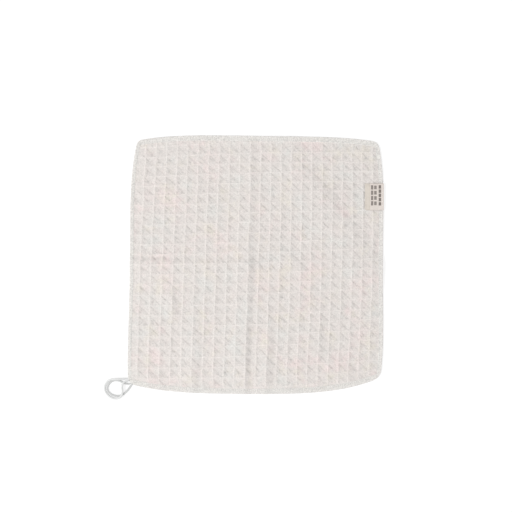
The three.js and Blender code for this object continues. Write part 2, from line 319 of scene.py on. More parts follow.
class StitchSettings(bpy.types.PropertyGroup):
    """The overlock stitches."""

    pitch: length_setting("Stitch Pitch", "Distance from one overlock stitch to the next", 0.0024)
    thread: length_setting("Thread", "Diameter of the sewing thread", 0.00045)
    seed: IntProperty(name="Seed", description="Number that sets how the stitches slip", min=0, default=7)
    colour: colour_setting("Thread Colour", "the sewing thread", (0.865, 0.852, 0.825))


class LabelSettings(bpy.types.PropertyGroup):
    """The sewn-in label."""

    thickness: length_setting("Ribbon Thickness", "Thickness of the label's ribbon", 0.00022)
    colour: colour_setting("Ribbon", "the label's plain ribbon", (0.715, 0.655, 0.585))
    face_colour: colour_setting("Ribbon Face", "the label's face with the dashes", (0.765, 0.693, 0.642))
    dash_colour: colour_setting("Dashes", "the plain dashes woven into the label", (0.1, 0.08, 0.07))


class LoopSettings(bpy.types.PropertyGroup):
    """The hanging loop."""

    diameter: length_setting("Cord", "Diameter of the hanging loop's cord", 0.0025)
    braid: length_setting("Braid Pitch", "Length of one strand's turn in the cord's braid", 0.0052)
    # One cord, two copies of its colour: the outer one lit, the inner one darker, as painted shade
    outer_lit_colour: colour_setting("Outer Strand", "the loop's outer strand", (0.72, 0.725, 0.72))
    inner_shaded_colour: colour_setting("Inner Strand", "the loop's inner strand", (0.6, 0.605, 0.6))


class StageSettings(bpy.types.PropertyGroup):
    """The floor, the light and the camera."""

    camera_height: length_setting("Camera Height", "Height of the camera above the floor", 1.6)
    view_width: length_setting("View Width", "Width of the view at the towel's upper face", 0.6067)
    sky: strength_setting("Sky", "Strength of the even light from all round", 0.77)
    lamp: strength_setting("Lamp", "Power of the soft lamp on the left, in watts", 32)
    lamp_distance: length_setting("Lamp Distance", "Distance from the towel's middle to the lamp", 2.8)
    lamp_size: length_setting("Lamp Size", "Width and height of the lamp's soft box", 0.7)
    lamp_turn: angle_setting("Lamp Direction", "Turn of the light, anticlockwise from the towel's right", 199)
    lamp_rise: angle_setting("Lamp Rise", "Angle of the light above the floor", 50)
    floor_colour: colour_setting("Floor", "the floor", (0.45, 0.45, 0.45))
    floor_glow: strength_setting("Floor Glow", "White light that the floor gives off against shadows", 0.6)


class TowelSettings(bpy.types.PropertyGroup):
    """All settings of the towel and its stage."""

    cloth: PointerProperty(type=ClothSettings)
    stitches: PointerProperty(type=StitchSettings)
    label: PointerProperty(type=LabelSettings)
    loop: PointerProperty(type=LoopSettings)
    stage: PointerProperty(type=StageSettings)


# The cloth's outline, net and creases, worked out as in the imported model's source

# The numbers of a common small generator of random numbers
WORD = 0xFFFFFFFF
SEED_STEP = 0x6D2B79F5
SHIFTS = (15, 7, 14)
BITS = (1, 61)


def seeded(number):
    """A random number from 0 to 1 that is always the same for a whole number."""
    state = (number + SEED_STEP) & WORD
    state = ((state ^ (state >> SHIFTS[0])) * (state | BITS[0])) & WORD
    state ^= (state + (((state ^ (state >> SHIFTS[1])) * (state | BITS[1])) & WORD)) & WORD
    return (state ^ (state >> SHIFTS[2])) / (WORD + 1)


def stray(what, i, j):
    """The stray of one place in the net, from -1 to 1."""
    number = (STRAYS.index(what) * LINES + i) * LINES + j
    return 2 * seeded(number) - 1


def mix(start, end, share):
    return start + (end - start) * share


def smooth(share):
    """A share from 0 to 1 that starts and ends gently."""
    share = np.clip(share, 0, 1)
    return share * share * (3 - 2 * share)


def soft_bump(distance):
    """A smooth hump, 1 at 0 and 0 from 1 on."""
    return np.where(np.abs(distance) < 1, (1 - distance * distance) ** 2, 0)


def through(values, share):
    """The smooth curve that has the stated values at even steps from 0 to 1."""
    steps = len(values) - 1
    total = 0
    for k, value in enumerate(values):
        weight = 1
        for other in range(len(values)):
            if other != k:
                weight = weight * (share * steps - other) / (k - other)
        total = total + weight * value
    return total


def way_along(points):
    """How far along a line each of its points is."""
    lengths = np.linalg.norm(np.diff(points, axis=0), axis=1)
    return np.concatenate([[0], np.cumsum(lengths)])


def along_line(places, way, points):
    """Points at places along a line, which has points of its own at the places in way."""
    return np.column_stack([np.interp(places, way, column) for column in points.T])


def direction(edge):
    """0 for an edge that runs along x, and 1 for one that runs along y."""
    return 0 if edge in CORNERS else 1


def edge_corners(edge):
    """The two corners that an edge joins, from its left or near end on."""
    if edge in CORNERS:
        return (edge, "left"), (edge, "right")
    return ("near", edge), ("far", edge)


def edge_at(edge, place):
    """Where a bowed edge runs: y for a place x on the far and near ones, x for a place y on the others."""
    start, end = (CORNERS[row][side] for row, side in edge_corners(edge))
    along = direction(edge)
    aside = 1 - along
    outward = 1 if edge in ("far", "right") else -1
    share = (place - start[along]) / (end[along] - start[along])
    return mix(start[aside], end[aside], share) + outward * through((0, *BOWS[edge], 0), share)


def on_edge(edge, places):
    """Points of a bowed edge, for places along it."""
    aside = edge_at(edge, places)
    return np.column_stack([aside, places] if direction(edge) else [places, aside])


def seam_corner(end, side):
    """The corner of the seam: the bowed edges' corner, moved in by the hem's width both ways."""
    x, y = CORNERS[end][side]
    return edge_at(side, y + INWARD[end]) + INWARD[side], edge_at(end, x + INWARD[side]) + INWARD[end]


def net_place(i, j):
    """A place in the net of ridges, whose first and last lines are the hem's seam."""
    side = {0: "left", LAST: "right"}.get(i)
    end = {0: "near", LAST: "far"}.get(j)
    if side and end:
        return seam_corner(end, side)
    across = min(max(i - 1, 0), RIDGES - 1) / (RIDGES - 1)
    along = min(max(j - 1, 0), RIDGES - 1) / (RIDGES - 1)
    rows = [through(np.array(CROSSINGS[row]), across) for row in ("near", "middle", "far")]
    x, y = through(rows, along)
    if side:
        low = seam_corner("near", side)[1] + j * LEAST_CELL
        high = seam_corner("far", side)[1] - (LAST - j) * LEAST_CELL
        y = min(max(y, low), high)
        return edge_at(side, y) + INWARD[side], y
    if end:
        return x, edge_at(end, x) + INWARD[end]
    return x + STRAY_PLACE * stray("x", i, j), y + STRAY_PLACE * stray("y", i, j)


NET = np.array([[net_place(i, j) for j in range(LINES)] for i in range(LINES)])


def on_net(values, a, b):
    """Values that are known at the net's crossings, worked out for places between them."""
    i = np.clip(np.floor(a).astype(int), 0, LAST - 1)
    j = np.clip(np.floor(b).astype(int), 0, LAST - 1)
    s = a - i
    t = b - j
    if values.ndim > s.ndim:
        s = s[..., None]
        t = t[..., None]
    near = mix(values[i, j], values[i + 1, j], s)
    far = mix(values[i, j + 1], values[i + 1, j + 1], s)
    return mix(near, far, t)


def crease_lift(crease, x, y):
    """How far one crease lifts the cloth, from the nearest piece of its crest."""
    long_slope, steep_slope, crest = crease
    nearest = np.full(np.shape(x), np.inf)
    lift = np.zeros(np.shape(x))
    last_piece = len(crest) - 2
    for k in range(last_piece + 1):
        start_x, start_y, start_rise = crest[k]
        end_x, end_y, end_rise = crest[k + 1]
        length = math.hypot(end_x - start_x, end_y - start_y)
        way_x = (end_x - start_x) / length
        way_y = (end_y - start_y) / length
        low = -np.inf if k == 0 else 0
        high = np.inf if k == last_piece else length
        along = np.clip((x - start_x) * way_x + (y - start_y) * way_y, low, high)
        distance = np.hypot(x - start_x - along * way_x, y - start_y - along * way_y)
        on_right = (x - start_x) * way_y > (y - start_y) * way_x
        beyond = np.maximum(np.maximum(-along, along - length), 0)
        rise = mix(start_rise, end_rise, np.clip(along / length, 0, 1))
        slope = np.where(on_right, long_slope, steep_slope)
        here = rise * soft_bump(distance / slope) * soft_bump(beyond / CREASE_FADE)
        lift = np.where(distance < nearest, here, lift)
        nearest = np.minimum(distance, nearest)
    return lift


def lifted(place, height):
    """Points in space: a place on the cloth, and a height above the surface that the creases make."""
    x = place[..., 0]
    y = place[..., 1]
    lift = CREASE_STRENGTH * sum(crease_lift(crease, x, y) for crease in CREASES.values())
    return np.concatenate([place, (lift + height)[..., None]], axis=-1)


# The cloth's two faces


def from_line(share):
    """How far a place in a cell is from the nearest line of the net, from 0 to 1 at the cell's middle."""
    return 1 - np.abs(2 * share - 1)


def wall(distance):
    """How deep a pit's wall is, as a share of the pit's depth, for a distance from the ridge."""
    return RIM_SHARE * smooth(distance / RIM_WIDTH) + (1 - RIM_SHARE) * distance


def sag(a, b):
    """How far the ridges sag at a place in the net: most halfway between two crossings."""
    across = from_line(a % 1)
    along = from_line(b % 1)
    off_seam = np.clip(np.minimum(np.minimum(a, LAST - a), np.minimum(b, LAST - b)), 0, 1)
    sagging = UP_RIDGE_SAG * smooth(along) * (1 - across) + CROSS_RIDGE_SAG * smooth(across) * (1 - along)
    return off_seam * sagging


def unevenness(shape):
    """Small random heights for a grid of mesh points, none of them at its border."""
    heights = np.random.default_rng(UNEVEN_SEED).uniform(-UNEVEN_FACE, UNEVEN_FACE, shape)
    heights[[0, -1], :] = 0
    heights[:, [0, -1]] = 0
    return heights


def sample_lines(samples):
    """The net places of all mesh lines one way."""
    return np.array([cell + share for cell in range(LAST) for share in samples] + [LAST])


def uneven_levels(seam_level, level):
    """Heights at the net's crossings: one at the seam, and one that strays a little inside it."""
    levels = np.full((LINES, LINES), float(seam_level))
    for i in range(1, LAST):
        for j in range(1, LAST):
            levels[i, j] = level + STRAY_HEIGHT * stray("ridge", i, j)
    return levels


def upper_face(settings):
    """The points of the upper face: ridges on the net's lines, and a pit in each cell."""
    lines = sample_lines(UPPER_SAMPLES)
    a, b = np.meshgrid(lines, lines, indexing="ij")
    ridges = uneven_levels(SEAM_HEIGHT, settings.ridge_height / MM)
    depths = np.zeros((LAST, LAST))
    for i in range(LAST):
        for j in range(LAST):
            width = (NET[i + 1, j, 0] + NET[i + 1, j + 1, 0] - NET[i, j, 0] - NET[i, j + 1, 0]) / 2
            height = (NET[i, j + 1, 1] + NET[i + 1, j + 1, 1] - NET[i, j, 1] - NET[i + 1, j, 1]) / 2
            share = min(width, height, PITCH) / PITCH
            depth = (settings.pit_depth / MM + STRAY_DEPTH * stray("pit", i, j)) * share
            middle = ridges[i : i + 2, j : j + 2].mean()
            depths[i, j] = middle - (settings.ridge_height / MM - depth)
    i = np.minimum(a.astype(int), LAST - 1)
    j = np.minimum(b.astype(int), LAST - 1)
    distance = np.minimum(from_line(a - i), from_line(b - j))
    height = on_net(ridges, a, b) - depths[i, j] * wall(distance) - sag(a, b)
    return a, b, lifted(on_net(NET, a, b), height + unevenness(a.shape))


def under_face(settings):
    """The points of the face below. Its ridges run below the middles of the upper cells, as in the weave."""
    lines = sample_lines(UNDER_SAMPLES)
    a, b = np.meshgrid(lines, lines, indexing="ij")
    raised = uneven_levels(0, settings.pit_depth / MM)
    i = np.floor(a + 0.5).astype(int)
    j = np.floor(b + 0.5).astype(int)
    distance = np.minimum(1 - 2 * np.abs(a - i), 1 - 2 * np.abs(b - j))
    return a, b, lifted(on_net(NET, a, b), raised[i, j] * wall(distance))


def weave_places(a, b, shift):
    """Places in the weave, in pitches. The narrow cells at the hem are cut off, and not squeezed."""

    def cut(place, first, last):
        before = 1 - (1 - place) * first / PITCH
        after = LAST - 1 + (place - LAST + 1) * last / PITCH
        return np.where(place < 1, before, np.where(place > LAST - 1, after, place))

    low = np.zeros(a.shape)
    high = low + LAST
    left = (on_net(NET, low + 1, b) - on_net(NET, low, b))[..., 0]
    right = (on_net(NET, high, b) - on_net(NET, high - 1, b))[..., 0]
    near = (on_net(NET, a, low + 1) - on_net(NET, a, low))[..., 1]
    far = (on_net(NET, a, high) - on_net(NET, a, high - 1))[..., 1]
    return np.dstack([cut(a, left, right) + shift, cut(b, near, far) + shift])


# The hem


def corner_curve(end, side):
    """A corner's rounding in two halves from its middle: to the far or near edge, and to the side one."""
    corner = np.array(CORNERS[end][side])
    reach = CORNER_REACH * ROUNDING[end][side]
    x = corner[0] + math.copysign(reach, INWARD[side])
    y = corner[1] + math.copysign(reach, INWARD[end])
    on_end = np.array([x, edge_at(end, x)])
    on_side = np.array([edge_at(side, y), y])
    t = np.linspace(0, 1, 2 * CORNER_STEPS + 1)[:, None]
    curve = (1 - t) ** 2 * on_side + 2 * t * (1 - t) * corner + t**2 * on_end
    return curve[CORNER_STEPS:], curve[CORNER_STEPS::-1]


def edge_beside(edge, seam):
    """The edge's points beside points of the seam, kept clear of the rounded corners."""
    along = direction(edge)
    low, high = (corner_curve(*corner)[along][-1, along] for corner in edge_corners(edge))
    return on_edge(edge, np.clip(seam[:, along], low, high))


def seam_points(edge, place):
    """Points of the seam along an edge, for net places that count from its anticlockwise start."""
    zero = np.zeros(place.shape)
    places = {
        "near": (place, zero),
        "right": (zero + LAST, place),
        "far": (LAST - place, zero + LAST),
        "left": (zero, LAST - place),
    }
    return on_net(NET, *places[edge])


def corner_run(end, side, edge, target):
    """Points from a corner's middle along an edge to a target, and the share of the way at each."""
    along = direction(edge)
    curve = corner_curve(end, side)[along]
    places = np.linspace(curve[-1, along], target[along], RUN_STEPS + 1)[1:]
    run = np.vstack([curve, on_edge(edge, places)])
    way = way_along(run)
    return run, way / way[-1]


# The edges, anticlockwise from the near left corner, with the corner that each starts from and ends at
ROUND = (
    ("near", ("near", "left"), ("near", "right")),
    ("right", ("near", "right"), ("far", "right")),
    ("far", ("far", "right"), ("far", "left")),
    ("left", ("far", "left"), ("near", "left")),
)


def edge_points(edge, start, end, place):
    """Points of the cloth's edge, for net places that count from the edge's anticlockwise start."""
    points = edge_beside(edge, seam_points(edge, place))
    for corner, from_corner, first_ridge in ((start, place, 1.0), (end, LAST - place, LAST - 1.0)):
        target = edge_beside(edge, seam_points(edge, np.array([first_ridge])))[0]
        run, shares = corner_run(*corner, edge, target)
        bent = along_line(np.clip(from_corner, 0, 1), shares, run)
        points = np.where((from_corner < 1)[:, None], bent, points)
    return points


def hem_round(samples):
    """Seam and edge points all round the cloth, from the near left corner's middle on."""
    lines = sample_lines(samples)[:-1]
    seam = [seam_points(edge, lines) for edge, _, _ in ROUND]
    rim = [edge_points(edge, start, end, lines) for edge, start, end in ROUND]
    return np.vstack(seam), np.vstack(rim)


def hem_rings(inset):
    """The points of the hem's fabric: a section for each place round the cloth, without its two seams."""
    upper_seam, upper_rim = hem_round(UPPER_SAMPLES)
    under_seam, under_rim = hem_round(UNDER_SAMPLES)
    rings = []
    for number, (out, height) in enumerate(HEM_SECTION[1:-1], start=1):
        share = number / (len(HEM_SECTION) - 1)
        seam = mix(upper_seam, under_seam, share)
        rim = mix(upper_rim, under_rim, share)
        width = np.linalg.norm(rim - seam, axis=1)[:, None]
        place = mix(seam, rim, out * (1 - inset / width))
        rings.append(lifted(place, height))
    return np.stack(rings, axis=1)


# Meshes


def new_piece(name, points, faces, places, map_name, materials, slot):
    """A smooth mesh that rides on the towel. places has a map place for each corner of each face."""
    mesh = bpy.data.meshes.new(name)
    mesh.from_pydata((np.asarray(points) * MM).tolist(), [], faces)
    mesh.shade_smooth()
    layer = mesh.uv_layers.new(name=map_name)
    layer.data.foreach_set("uv", np.asarray(places, dtype=float).ravel())
    for material in materials:
        mesh.materials.append(material)
    piece = bpy.data.objects.new(name, mesh)
    bpy.context.scene.collection.objects.link(piece)
    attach(piece, BODY)
    return piece


def face_corners(faces):
    return np.concatenate([np.asarray(face) for face in faces])


def grid_faces(count, cells, offset, flipped):
    """The faces of a square grid of points, split along the cells' diagonals, and those diagonal edges."""
    faces = []
    creases = []
    for p in range(count - 1):
        for q in range(count - 1):
            near_left = offset + p * count + q
            near_right = near_left + count
            corners = [near_left, near_right, near_right + 1, near_left + 1]
            if flipped:
                corners.reverse()
            rising = p % cells == q % cells
            falling = p % cells + q % cells == cells - 1
            if rising == falling:
                faces.append(tuple(corners))
                continue
            diagonal = (near_left, near_right + 1) if rising else (near_right, near_left + 1)
            start = corners.index(diagonal[0])
            corners = corners[start:] + corners[:start]
            faces.append((corners[0], corners[1], corners[2]))
            faces.append((corners[0], corners[2], corners[3]))
            creases.append(diagonal)
    return faces, creases


def sharpen(mesh, pairs):
    """Marks the edges between pairs of points as sharp."""
    count = len(mesh.vertices)
    ends = np.empty(len(mesh.edges) * 2, dtype=np.int64)
    mesh.edges.foreach_get("vertices", ends)
    ends = np.sort(ends.reshape(-1, 2), axis=1)
    wanted = np.sort(np.array(pairs, dtype=np.int64), axis=1)
    keys = ends[:, 0] * count + ends[:, 1]
    sharp = np.isin(keys, wanted[:, 0] * count + wanted[:, 1])
    attribute = mesh.attributes.new("sharp_edge", "BOOLEAN", "EDGE")
    attribute.data.foreach_set("value", sharp)


def boundary(count, offset):
    """The numbers of a square grid's border points, anticlockwise from the near left corner."""
    last = count - 1
    near = [offset + p * count for p in range(last)]
    right = [offset + last * count + q for q in range(last)]
    far = [offset + (last - p) * count + last for p in range(last)]
    left = [offset + (last - q) for q in range(last)]
    return near + right + far + left


def carried_frames(points):
    """Two crosswise directions at each point of a path, carried along it without a twist."""
    ways = np.gradient(points, axis=0)
    ways /= np.linalg.norm(ways, axis=1, keepdims=True)
    across = np.empty(points.shape)
    least = np.eye(3)[np.argmin(np.abs(ways[0]))]
    before = np.cross(ways[0], least)
    for k, way in enumerate(ways):
        level = before - np.dot(before, way) * way
        across[k] = level / np.linalg.norm(level)
        before = across[k]
    return across, np.cross(ways, across)


def tube(points, radius, sides):
    """A round tube with closed ends: points, faces, and places along it in millimetres and round it in turns.
    The radius is one number, or one for each point of the path."""
    points = np.asarray(points, dtype=float)
    across, aside = carried_frames(points)
    turns = np.arange(sides) / sides
    angles = (2 * math.pi * turns)[None, :, None]
    spokes = across[:, None] * np.cos(angles) + aside[:, None] * np.sin(angles)
    rings = points[:, None] + np.broadcast_to(radius, len(points))[:, None, None] * spokes
    along = way_along(points)
    faces = []
    places = []
    for k in range(len(points) - 1):
        for m in range(sides):
            n = (m + 1) % sides
            faces.append((k * sides + m, k * sides + n, (k + 1) * sides + n, (k + 1) * sides + m))
            start, end = m / sides, (m + 1) / sides
            places += [(along[k], start), (along[k], end), (along[k + 1], end), (along[k + 1], start)]
    last_ring = (len(points) - 1) * sides
    faces.append(tuple(reversed(range(sides))))
    places += [(along[0], turn) for turn in reversed(turns)]
    faces.append(tuple(last_ring + m for m in range(sides)))
    places += [(along[-1], turn) for turn in turns]
    return rings.reshape(-1, 3), faces, places


def joined(parts):
    """Several meshes as one: points, faces and places."""
    points = []
    faces = []
    places = []
    count = 0
    for part_points, part_faces, part_places in parts:
        faces += [tuple(number + count for number in face) for face in part_faces]
        points.append(part_points)
        places += list(part_places)
        count += len(part_points)
    return np.vstack(points), faces, places


def smooth_path(points, step):
    """A centripetal Catmull-Rom curve through the points, in pieces of about the stated length."""
    points = np.asarray(points, dtype=float)
    points = np.vstack([2 * points[0] - points[1], points, 2 * points[-1] - points[-2]])
    path = [points[1]]
    for k in range(1, len(points) - 2):
        four = points[k - 1 : k + 3]
        gaps = np.sqrt(np.linalg.norm(np.diff(four, axis=0), axis=1))
        knots = np.concatenate([[0], np.cumsum(gaps)])
        pieces = max(1, round(np.linalg.norm(four[2] - four[1]) / step))
        for piece in range(1, pieces + 1):
            knot = mix(knots[1], knots[2], piece / pieces)
            path.append(between_knots(four, knots, knot))
    return np.array(path)


def between_knots(points, knots, knot):
    """The point of a Catmull-Rom piece, by repeated blending between neighbouring points."""
    level = list(points)
    for reach in (1, 2, 3):
        blended = []
        for k in range(len(level) - 1):
            low, high = (knots[1], knots[2]) if reach == 3 else (knots[k], knots[k + reach])
            blended.append(mix(level[k], level[k + 1], (knot - low) / (high - low)))
        level = blended
    return level[0]


# Materials


class Value:
    """A number or a vector that varies over a surface, as the output of a node."""

    def __init__(self, finish, socket):
        self.finish = finish
        self.socket = socket

    def output(self, name):
        """Another output of the same node."""
        return Value(self.finish, self.socket.node.outputs[name])

    def operate(self, operation, first, second):
        kinds = {value.socket.type for value in (first, second) if isinstance(value, Value)}
        kind = "ShaderNodeMath" if kinds == {"VALUE"} else "ShaderNodeVectorMath"
        return self.finish.node(kind, {"operation": operation}, {0: first, 1: second})

    def __add__(self, other):
        return self.operate("ADD", self, other)

    def __radd__(self, other):
        return self.operate("ADD", other, self)

    def __sub__(self, other):
        return self.operate("SUBTRACT", self, other)

    def __rsub__(self, other):
        return self.operate("SUBTRACT", other, self)

    def __mul__(self, other):
        return self.operate("MULTIPLY", self, other)

    def __rmul__(self, other):
        return self.operate("MULTIPLY", other, self)

    def __truediv__(self, other):
        return self.operate("DIVIDE", self, other)


class Finish:
    """A material whose nodes are added one by one."""

    MIX_INPUTS = {"factor": 0, "first": 6, "second": 7}
    MIX_OUTPUT = 2

    def __init__(self, name, constants):
        self.material = bpy.data.materials.new(name)
        self.material.use_nodes = True
        self.tree = self.material.node_tree
        self.shader = self.tree.nodes["Principled BSDF"]
        for socket, value in constants.items():
            self.put(self.shader.inputs[socket], value)

    def put(self, socket, value):
        """Links a value to a socket, or sets the socket to a number, colour or vector."""
        if isinstance(value, Value):
            self.tree.links.new(value.socket, socket)
        elif hasattr(socket.default_value, "__len__") and not hasattr(value, "__len__"):
            socket.default_value = (value,) * len(socket.default_value)
        elif socket.type == "RGBA":
            socket.default_value = (*value, 1)
        else:
            socket.default_value = value

    def node(self, kind, settings, inputs, output=0):
        """A node of any type: its settings are set first, and then its sockets."""
        node = self.tree.nodes.new(kind)
        for name, value in settings.items():
            setattr(node, name, value)
        for key, value in inputs.items():
            self.put(node.inputs[key], value)
        return Value(self, node.outputs[output])

    def shade(self, socket, value):
        self.put(self.shader.inputs[socket], value)

    def maths(self, operation, *values):
        return self.node("ShaderNodeMath", {"operation": operation}, dict(enumerate(values)))

    def map_place(self, map_name):
        """The two numbers of a place in one of the mesh's maps."""
        place = self.node("ShaderNodeUVMap", {"uv_map": map_name}, {})
        split = self.node("ShaderNodeSeparateXYZ", {}, {0: place})
        return split.output("X"), split.output("Y")

    def object_place(self):
        return self.node("ShaderNodeTexCoord", {}, {}, "Object")

    def noise(self, place, kind):
        """Smooth noise from -1 to 1, in blotches of one kind."""
        length, detail, roughness = BLOTCHES[kind]
        inputs = {"Vector": place, "Scale": 1 / length, "Detail": detail, "Roughness": roughness}
        return self.node("ShaderNodeTexNoise", {}, inputs, "Fac") * 2 - 1

    def rise(self, value, low, high):
        """0 below the low value, 1 above the high one, and smooth between them."""
        inputs = {"Value": value, "From Min": low, "From Max": high}
        return self.node("ShaderNodeMapRange", {"interpolation_type": "SMOOTHSTEP"}, inputs)

    def wave(self, value):
        """A wave from -1 to 1, once for each whole number."""
        return self.maths("COSINE", value * (2 * math.pi))

    def blend(self, factor, first, second):
        keys = self.MIX_INPUTS
        inputs = {keys["factor"]: factor, keys["first"]: first, keys["second"]: second}
        return self.node("ShaderNodeMix", {"data_type": "RGBA"}, inputs, self.MIX_OUTPUT)

    def brightened(self, colour, brightness):
        """A colour times a brightness."""
        return self.node("ShaderNodeVectorMath", {"operation": "SCALE"}, {0: colour, "Scale": brightness})

    def paint(self, colour, brightness):
        """Gives the surface a colour times a brightness."""
        self.shade("Base Color", self.brightened(colour, brightness))

    def bump(self, height, distance):
        """Raises the surface's look by a height times a distance in metres."""
        inputs = {"Height": height, "Distance": distance, "Strength": 1.0}
        self.shade("Normal", self.node("ShaderNodeBump", {}, inputs))


CLOTH_LOOK = {"Roughness": 0.95, "Sheen Weight": 0.25, "Sheen Roughness": 0.6, "Specular IOR Level": 0.15}
THREAD_LOOK = {"Roughness": 0.8, "Sheen Weight": 0.2, "Sheen Roughness": 0.5, "Specular IOR Level": 0.25}
RIBBON_LOOK = {"Sheen Weight": 0.1, "Specular IOR Level": 0.35}
CORD_LOOK = {"Roughness": 0.7, "Sheen Weight": 0.15, "Sheen Roughness": 0.5, "Specular IOR Level": 0.3}
FLOOR_LOOK = {"Roughness": 1.0, "Specular IOR Level": 0.0}

# Kinds of blotches: their length in metres, their layers of finer ones, and how strong those are. The strokes
# are stretched to their size first.
BLOTCHES = {
    "fluff": (0.0007, 3, 0.7),
    "speckle": (0.0014, 2, 0.6),
    "tufts": (0.0022, 2, 0.5),
    "beads": (0.0035, 1, 0.5),
    "pale and dark": (0.016, 2, 0.5),
    "rosy and cool": (0.045, 4, 0.7),
    "olive": (0.024, 3, 0.7),
    "strokes": (1, 1, 0.5),
    "thread fluff": (0.0007, 2, 0.5),
    "thread speckle": (0.0014, 2, 0.5),
    "ribbon cloud": (0.006, 2, 0.5),
    "ribbon grain": (0.0006, 2, 0.5),
}

# The cloth's brightness, and how much each part of a cell adds to it or takes from it. Most of this is
# painted light and shade: painted highlights on the ridges, broken up by the beads, on the near wall and
# beside each up ridge, and painted shade in the pits, on the right wall, along the valley and in the strokes.
# The speckle and the pale and dark blotches vary at random.
CLOTH_LIGHT = 1.042
UP_RIDGE_LIGHT = 0.045
CROSS_RIDGE_LIGHT = 0.022
PIT_SHADE = 0.03
NEAR_WALL_LIGHT = 0.018
RIGHT_WALL_SHADE = 0.03
SIDE_LIGHT = 0.04
VALLEY_SHADE = 0.045
SPECKLE = 0.27
STROKES = 0.17
BEADS = 0.14
PALE_AND_DARK = 0.02

# Where those parts are in a cell, as shares of its pitch, and how far its threads stray there.
# The lower left half's share of the finish goes from none to all between its two numbers.
RIDGE_FROM = 0.82
SIDE_LIGHT_TO = 0.17
LOWER_LEFT_TO = (1.05, 0.9)
FAR_WALL_BLUR = 0.3
VALLEY_AT = 0.92
VALLEY_WIDTH = 0.2
GROOVE_WIDTH = 0.13
WARP = 0.035

# The weave's threads, and how deep each kind of relief is, as a share of the setting
THREADS_IN_HALF_CELL = 8
THREAD_DEPTH = 0.35
GROOVE_DEPTH = 0.9
FLUFF_DEPTH = 1.2
TUFT_DEPTH = 1.6

# The noise where a patch has all its colour, and where a stroke of painted shade has none and all of its
# darkness
PATCH_FULL = 0.4
OLIVE_FULL = 0.5
STROKE_NONE = 0.1
STROKE_FULL = -0.5

# The strokes' size, in metres
STROKE_LENGTH = 0.008
STROKE_WIDTH = 0.0032


def patchy_colour(finish, settings, place):
    """The cloth's colour, in faint rosy, cool and olive patches."""
    patches = finish.noise(place, "rosy and cool")
    rosy = finish.blend(finish.rise(patches, 0, PATCH_FULL), settings.colour, settings.rosy)
    cool = finish.blend(finish.rise(patches, 0, -PATCH_FULL), rosy, settings.cool)
    return finish.blend(finish.rise(finish.noise(place, "olive"), 0, OLIVE_FULL), cool, settings.olive)


def slanting_shade_strokes(finish, place):
    """Painted shade in strokes, from 0 to 1, that slant from the far left to the near right."""
    split = finish.node("ShaderNodeSeparateXYZ", {}, {0: place})
    x, y = split.output("X"), split.output("Y")
    inputs = {0: (x - y) / STROKE_LENGTH, 1: (x + y) / STROKE_WIDTH}
    slanted = finish.node("ShaderNodeCombineXYZ", {}, inputs)
    return finish.rise(finish.noise(slanted, "strokes"), STROKE_NONE, STROKE_FULL)


def waffle_finish(settings):
    """Microfibre threads that run beside the nearest ridge, in squares round each pit."""
    finish = Finish("waffle_microfibre", CLOTH_LOOK)
    place = finish.object_place()
    u, v = finish.map_place(WEAVE_MAP)
    tufts = finish.noise(place, "tufts")
    beads = finish.noise(place, "beads")
    across = finish.maths("FRACT", u + tufts * WARP)
    along = finish.maths("FRACT", v + beads * WARP)
    near_up_ridge = finish.maths("ABSOLUTE", across * 2 - 1)
    near_cross_ridge = finish.maths("ABSOLUTE", along * 2 - 1)
    near_ridge = finish.maths("MAXIMUM", near_up_ridge, near_cross_ridge)
    up_ridge = finish.rise(near_up_ridge, RIDGE_FROM, 1)
    cross_ridge = finish.rise(near_cross_ridge, RIDGE_FROM, 1)
    off_corner = across + along
    lower_left = finish.rise(off_corner, *LOWER_LEFT_TO)
    far_wall = finish.rise(along - across, -FAR_WALL_BLUR, FAR_WALL_BLUR)
    valley = 1 - finish.rise(finish.maths("ABSOLUTE", off_corner - VALLEY_AT), 0, VALLEY_WIDTH)
    # Painted light and shade: highlights on the ridges, the near wall and beside each up ridge, and shade in
    # the pits, on the right wall, along the valley and in the strokes
    brightness = (
        CLOTH_LIGHT
        + up_ridge * (UP_RIDGE_LIGHT + beads * BEADS)
        + cross_ridge * (CROSS_RIDGE_LIGHT + beads * BEADS)
        - (1 - near_ridge) * PIT_SHADE
        + (1 - far_wall) * lower_left * NEAR_WALL_LIGHT
        - (1 - far_wall) * (1 - lower_left) * (1 - up_ridge) * RIGHT_WALL_SHADE
        + finish.rise(across, SIDE_LIGHT_TO, 0) * SIDE_LIGHT
        - valley * (1 - cross_ridge) * (1 - up_ridge) * VALLEY_SHADE
        + finish.noise(place, "speckle") * SPECKLE
        - slanting_shade_strokes(finish, place) * lower_left * (1 - cross_ridge) * STROKES
        + finish.noise(place, "pale and dark") * PALE_AND_DARK
    )
    finish.paint(patchy_colour(finish, settings, place), brightness)
    off_diagonal = finish.maths("ABSOLUTE", near_up_ridge - near_cross_ridge)
    groove = (1 - finish.rise(off_diagonal, 0, GROOVE_WIDTH)) * (1 - finish.rise(near_ridge, RIDGE_FROM, 1))
    threads = finish.wave(near_ridge * THREADS_IN_HALF_CELL)
    fluff = finish.noise(place, "fluff")
    weave = threads * THREAD_DEPTH + fluff * FLUFF_DEPTH - groove * GROOVE_DEPTH
    finish.bump(weave + tufts * (1 - up_ridge) * TUFT_DEPTH, settings.thread_relief)
    return finish.material


# The hem's band: brightness, speckle, and how much of the cool patches' colour it has
HEM_LIGHT = 1.035
HEM_SPECKLE = 0.42
HEM_COOL = 0.65


def hem_finish(settings):
    """The napped band of cloth that the overlock stitches hold."""
    finish = Finish("hem_band", CLOTH_LOOK)
    place = finish.object_place()
    colour = finish.blend(HEM_COOL, patchy_colour(finish, settings, place), settings.cool)
    finish.paint(colour, HEM_LIGHT + finish.noise(place, "speckle") * HEM_SPECKLE)
    finish.bump(finish.noise(place, "fluff"), settings.thread_relief)
    return finish.material


# The sewing thread's plies: from one to the next in millimetres, their shade, and their depth in diameters
PLIES = 2
PLY_PITCH = 0.7
PLY_SHADE = 0.03
PLY_DEPTH = 0.125


